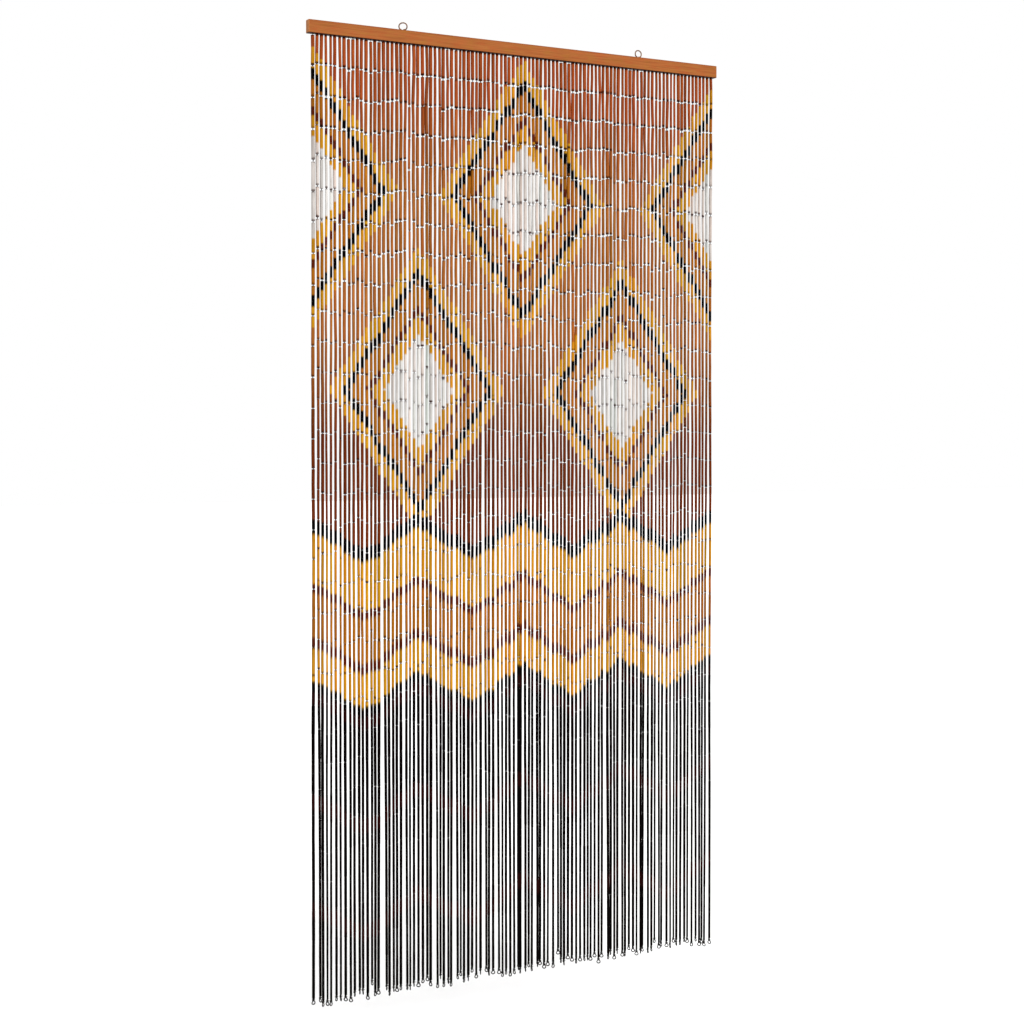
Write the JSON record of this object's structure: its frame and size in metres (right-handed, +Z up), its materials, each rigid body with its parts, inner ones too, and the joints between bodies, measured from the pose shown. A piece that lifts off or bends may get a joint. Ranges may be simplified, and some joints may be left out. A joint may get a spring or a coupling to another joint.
{
  "type": "bamboo bead door curtain with its wooden hanging rail",
  "caption": "Door curtain of many hanging strands of thin painted bamboo tubes on wire, under a painted wooden rail with screw eyes on top.",
  "frame": {"origin": "middle of the rail's flat top, halfway along the rail and halfway through its depth, between the two screw eyes", "axes": "+Z up, +X along the rail to the right as seen from the painted front, -Y out of the painted front, +Y towards the wall behind"},
  "size_m": [1, 0.015, 2.025],
  "materials": {
    "painted_wood": "matt orange-brown paint over fine straight grain, worn paler along the edges",
    "painted_bamboo": "matt brushed paint on thin bamboo tubes, burnt orange above and charcoal below",
    "steel_wire": "dull copper-brown plated steel wire"
  },
  "bodies": {
    "root": {"rail": "painted_wood", "strands": "painted_bamboo", "screw_eye_left": "steel_wire", "screw_eye_right": "steel_wire"}
  },
  "joints": []
}
